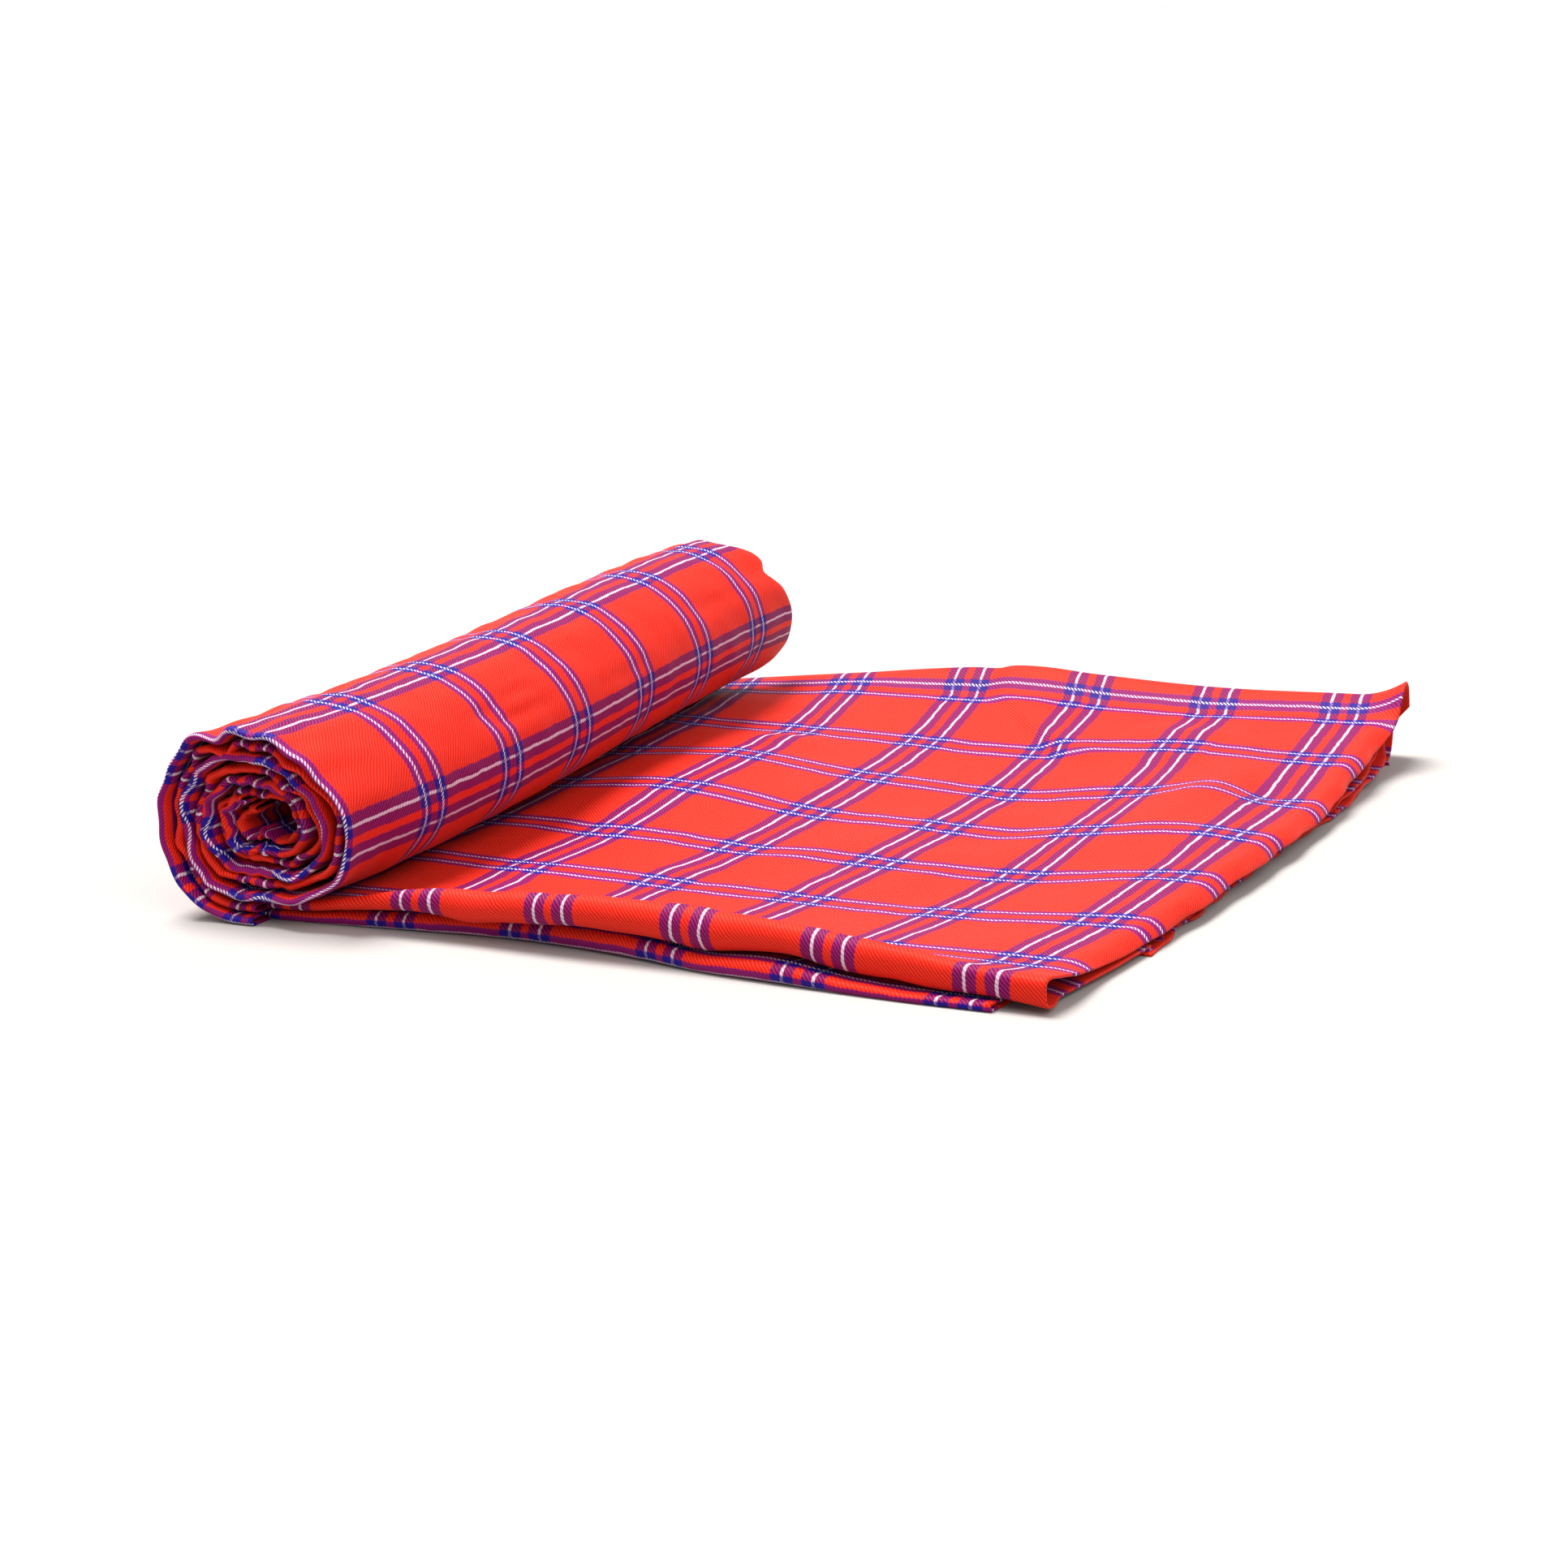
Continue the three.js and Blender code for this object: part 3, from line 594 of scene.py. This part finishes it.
def rim_places(turned, is_plain):
    """Where the front folds and the far rim lie at one amount turned."""
    laps = min(turned / 360, 2.6) ** 1.3
    crumple = 1 + 1.2 * float(ease(60, 140, turned))
    striped = FRONT_END + 1.6 * laps + 1.3 * crumple * waver(turned / 27, 0, 21)
    plain = FRONT_END + 1 + 1.9 * laps + 1.4 * crumple * waver(turned / 23, 0, 22)
    further_in = (1.5 * waver(turned / 30, 0, 23) - 1.6) * float(ease(330, 400, turned))
    far = float(read(FAR_RIM, 1, min(turned, FIRST_TURN_END))) - 6.5 + further_in
    return np.where(is_plain > 0.5, plain, striped), far


def wound_radius(turned, back, middle_z, is_plain):
    """Distance of the outer face from the roll's middle, with sway, puckers, dents and slack."""
    across_share = np.clip((back - FRONT_END) / ROLL_DEPTH, 0, 1)
    radius = read(WINDING, 1, turned) * (1 - across_share) + read(WINDING, 2, turned) * across_share
    down = math.cos(math.radians(turned))
    if turned < 90 and down > 0.2:
        radius = np.minimum(radius, middle_z / down)
    near_front = np.exp(-np.maximum(back - FRONT_END, 0) / 30)
    near_back = np.exp(-np.maximum(FRONT_END + ROLL_DEPTH - back, 0) / 30)
    spin = math.radians(turned)
    tied_at_seam = float(ease(300, 345, turned)) * (1 - float(ease(375, 420, turned)))
    free = float(ease(20, 60, turned)) * (1 - tied_at_seam)
    crumple = 1 + 1.2 * float(ease(60, 140, turned))
    sway = np.array([waver(2.1 * math.cos(spin), 2.1 * math.sin(spin), b / 90) for b in back])
    pucker = np.array([waver(turned / 17, b / 26, 25) for b in back])
    pucker_depth = 0.9 * (0.12 + (0.5 + 0.7 * crumple) * near_front + 0.8 * near_back)
    radius = radius + free * (0.7 * sway + pucker_depth * pucker)
    for spot_turned, spot_back, depth, reach_turned, reach_back in DENTS:
        round_it, behind = (turned - spot_turned) / reach_turned, (back - spot_back) / reach_back
        radius = radius - depth * np.exp(-(round_it**2) - behind**2)
    kink = math.exp(-(((turned - 160) / 6.5) ** 2))
    radius = radius - kink * (0.5 + 2.2 * near_front + 1.2 * near_back)
    slack = 0.9 + 1.6 * waver(turned / 21, 4, 26) + 1.1 * waver(turned / 9, 5, 27)
    return radius - is_plain * near_front * float(ease(30, 70, turned)) * max(slack, -0.4)


def cloth_across(back, reach_in, counts):
    """Place in the weave across the cloth, followed from the outer leaf round both folds."""
    ends = np.cumsum(counts)
    outer = 714.5 - back - 5 * (1 - ease(-26, 28, back))
    step = np.concatenate([[0], np.cumsum(np.hypot(np.diff(back), np.diff(reach_in)))])
    across = outer.copy()
    across[:ends[1]] = outer[ends[1]] + (step[ends[1]] - step[:ends[1]])
    across[ends[2]:ends[3]] = outer[ends[2] - 1] - (step[ends[2]:ends[3]] - step[ends[2] - 1])
    high, low = across[ends[3] - 1], back[ends[4] - 1]
    inner = slice(ends[3], ends[4])
    across[inner] = low + (back[inner] - low) * (high - low) / (back[ends[3]] - low)
    across[ends[4]:] = low - (step[ends[4]:] - step[ends[4] - 1])
    return across


def wind(name, turns, middle_columns):
    """Winds the doubled cloth round the middle of the roll, as one sheet."""
    offset, deep, counts = roll_cut(middle_columns)
    is_plain = np.concatenate([np.zeros(sum(counts[:4])), np.ones(sum(counts[4:]))])
    net, weave = [], []
    for turned in turns:
        rim, far_rim = rim_places(turned, is_plain)
        spread = rim + KEPT + (offset - KEPT) * (far_rim - rim - KEPT) / (FAR_FOLD - KEPT)
        back = np.where(offset < KEPT, rim + offset, spread)
        middle_x, middle_z = roll_middle(back)
        radius = wound_radius(turned, back, middle_z, is_plain)
        # Where the roll starts, its layers are as far apart as those of the flat strip.
        at_start = 1 - float(ease(0, 40, turned))
        thicker = np.interp(back, DEPTHS, LEVELS[0][1:8]) - PLAIN_INSIDE
        reach_in = deep * (1 + at_start * np.maximum(thicker, 0) / PLAIN_INSIDE)
        angle = -math.pi / 2 - math.radians(turned)
        x = middle_x + (radius - reach_in) * math.cos(angle)
        z = middle_z + (radius - reach_in) * math.sin(angle)
        net.append(np.stack([x, back, np.maximum(z, 0)], -1))
        cloth_along = float(np.interp(turned, TURN_TO_ALONG[:, 0], TURN_TO_ALONG[:, 1]))
        across = cloth_across(back, reach_in, counts)
        weave.append(np.stack([np.full(len(back), cloth_along), across], -1))
    sheet = lay_cloth(name, np.array(net), np.array(weave), 0.7)
    sheet.data.materials.append(check_cloth)
    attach(sheet, "root")
    return sheet


outer_roll = wind("roll_outer_cloth", np.linspace(0, FIRST_TURN_END, 150), 110)
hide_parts("roll_striped_outer_turn", "roll_plain_outer_turn")

inner_roll = wind("roll_inner_cloth", np.linspace(FIRST_TURN_END, CORE_END, 230), 44)
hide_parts("roll_striped_middle_turn", "roll_plain_middle_turn",
            "roll_striped_core", "roll_plain_core")

# The surface it lies on: a plain pale table top, wide enough to reach past every view.
bpy.ops.mesh.primitive_plane_add(size=160, location=(0, 0, 0))
surface = bpy.context.object
surface.name = "surface"
pale_top = bpy.data.materials.new("pale_top")
pale_top.use_nodes = True
pale_top.node_tree.nodes["Principled BSDF"].inputs["Base Color"].default_value = (0.37, 0.345, 0.33, 1)
pale_top.node_tree.nodes["Principled BSDF"].inputs["Roughness"].default_value = 0.9
surface.data.materials.append(pale_top)

# The light: a white studio, white low down behind the table and a little darker above, with a broad
# key light from the upper left and a weak fill light from the front right. The soft shadow falls
# to the right of the open end.
sky = bpy.data.worlds.new("studio")
bpy.context.scene.world = sky
sky.use_nodes = True
glow = sky.node_tree.nodes.new("ShaderNodeValToRGB")
glow.color_ramp.elements[0].position = 0.03
glow.color_ramp.elements[0].color = (1, 1, 1, 1)
glow.color_ramp.elements[1].position = 0.12
glow.color_ramp.elements[1].color = (0.70, 0.70, 0.70, 1)
outlook = sky.node_tree.nodes.new("ShaderNodeTexCoord")
rise = sky.node_tree.nodes.new("ShaderNodeSeparateXYZ")
sky.node_tree.links.new(outlook.outputs["Generated"], rise.inputs[0])
sky.node_tree.links.new(rise.outputs[2], glow.inputs[0])
sky.node_tree.links.new(glow.outputs[0], sky.node_tree.nodes["Background"].inputs["Color"])

for name, strength, width, direction in (
    ("key", 6.6, 32, (0.28, -0.07, -0.96)),
    ("fill", 1.3, 35, (-0.62, 0.42, -0.66)),
):
    lamp = bpy.data.lights.new(name, "SUN")
    lamp.energy = strength
    lamp.angle = math.radians(width)
    light = bpy.data.objects.new(name, lamp)
    light.rotation_euler = Vector(direction).to_track_quat("-Z", "Y").to_euler()
    bpy.context.collection.objects.link(light)

# The camera: where the photo was taken from, solved from the crossings of the check.
lens = bpy.data.cameras.new("camera")
lens.lens = 76.36
lens.sensor_width = 36
lens.clip_end = 200
camera = bpy.data.objects.new("camera", lens)
right = Vector((0.88731096, 0.46007348, -0.0318064))
up = Vector((-0.07707202, 0.21593499, 0.97336118))
away = Vector((0.45468578, -0.86122266, 0.22706027))
turn_to = Matrix((right, up, away)).transposed().to_4x4()
camera.matrix_world = Matrix.Translation((0.53207, -1.04448, 0.29112)) @ turn_to
bpy.context.collection.objects.link(camera)
bpy.context.scene.camera = camera
bpy.context.scene.view_settings.view_transform = "Standard"
